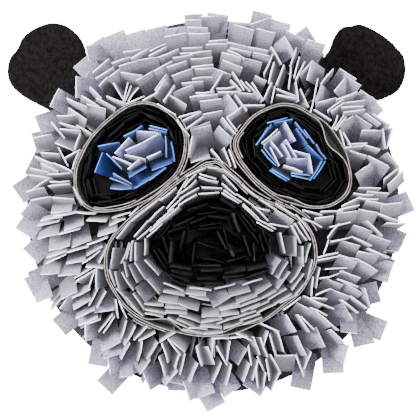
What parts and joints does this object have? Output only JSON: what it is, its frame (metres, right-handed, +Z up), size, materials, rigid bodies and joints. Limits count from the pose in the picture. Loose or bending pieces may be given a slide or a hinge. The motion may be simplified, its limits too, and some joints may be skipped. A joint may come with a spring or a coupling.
{
  "type": "snuffle mat",
  "caption": "Round felt snuffle mat with rows of upright fringe tabs, raised eye and muzzle rims and two flat ears.",
  "frame": {"origin": "middle of the round base's underside, on the surface that the mat lies on", "axes": "+Z up out of the mat, +Y to the top of the animal's face between its ears, +X to the face's right as seen from above"},
  "size_m": [0.4887, 0.4728, 0.0533],
  "materials": {
    "charcoal_felt": "flat felt, dark charcoal",
    "ear_felt": "flat felt, near black",
    "taupe_felt": "soft felt, beige-pink taupe",
    "silver_grey_felt": "soft felt, light silver grey with a cool tint",
    "black_felt": "soft felt, black",
    "blue_felt": "soft felt, mid blue",
    "lilac_felt": "soft felt, pale lilac"
  },
  "bodies": {
    "root": {"base": "charcoal_felt", "ear_left": "ear_felt", "ear_right": "ear_felt", "eye_rim_left": "taupe_felt", "eye_rim_right": "taupe_felt", "fringe_cheek_1": "silver_grey_felt", "fringe_cheek_10": "silver_grey_felt", "fringe_cheek_11": "silver_grey_felt", "fringe_cheek_12": "silver_grey_felt", "fringe_cheek_2": "silver_grey_felt", "fringe_cheek_3": "silver_grey_felt", "fringe_cheek_4": "silver_grey_felt", "fringe_cheek_5": "silver_grey_felt", "fringe_cheek_6": "silver_grey_felt", "fringe_cheek_7": "silver_grey_felt", "fringe_cheek_8": "silver_grey_felt", "fringe_cheek_9": "silver_grey_felt", "fringe_edge_1": "silver_grey_felt", "fringe_edge_2": "silver_grey_felt", "fringe_edge_3": "silver_grey_felt", "fringe_edge_4": "silver_grey_felt", "fringe_edge_5": "silver_grey_felt", "fringe_edge_6": "silver_grey_felt", "fringe_edge_7": "silver_grey_felt", "fringe_edge_8": "silver_grey_felt", "fringe_eye_left_1": "black_felt", "fringe_eye_left_2": "black_felt", "fringe_eye_left_3": "black_felt", "fringe_eye_right_1": "black_felt", "fringe_eye_right_2": "black_felt", "fringe_eye_right_3": "black_felt", "fringe_forehead_1": "silver_grey_felt", "fringe_forehead_2": "silver_grey_felt", "fringe_forehead_3": "silver_grey_felt", "fringe_forehead_4": "silver_grey_felt", "fringe_forehead_5": "silver_grey_felt", "fringe_forehead_6": "silver_grey_felt", "fringe_forehead_7": "silver_grey_felt", "fringe_forehead_8": "silver_grey_felt", "fringe_iris_left_1": "blue_felt", "fringe_iris_left_2": "blue_felt", "fringe_iris_right_1": "blue_felt", "fringe_iris_right_2": "blue_felt", "fringe_muzzle_inner_1": "silver_grey_felt", "fringe_muzzle_inner_2": "silver_grey_felt", "fringe_muzzle_inner_3": "silver_grey_felt", "fringe_muzzle_inner_4": "silver_grey_felt", "fringe_muzzle_outer_1": "silver_grey_felt", "fringe_muzzle_outer_2": "silver_grey_felt", "fringe_muzzle_outer_3": "silver_grey_felt", "fringe_muzzle_outer_4": "silver_grey_felt", "fringe_nose_inner_1": "black_felt", "fringe_nose_inner_2": "black_felt", "fringe_nose_middle": "black_felt", "fringe_nose_outer_1": "black_felt", "fringe_nose_outer_2": "black_felt", "fringe_nose_outer_3": "black_felt", "fringe_pupil_left": "lilac_felt", "fringe_pupil_right": "lilac_felt", "muzzle_rim": "taupe_felt"}
  },
  "joints": []
}
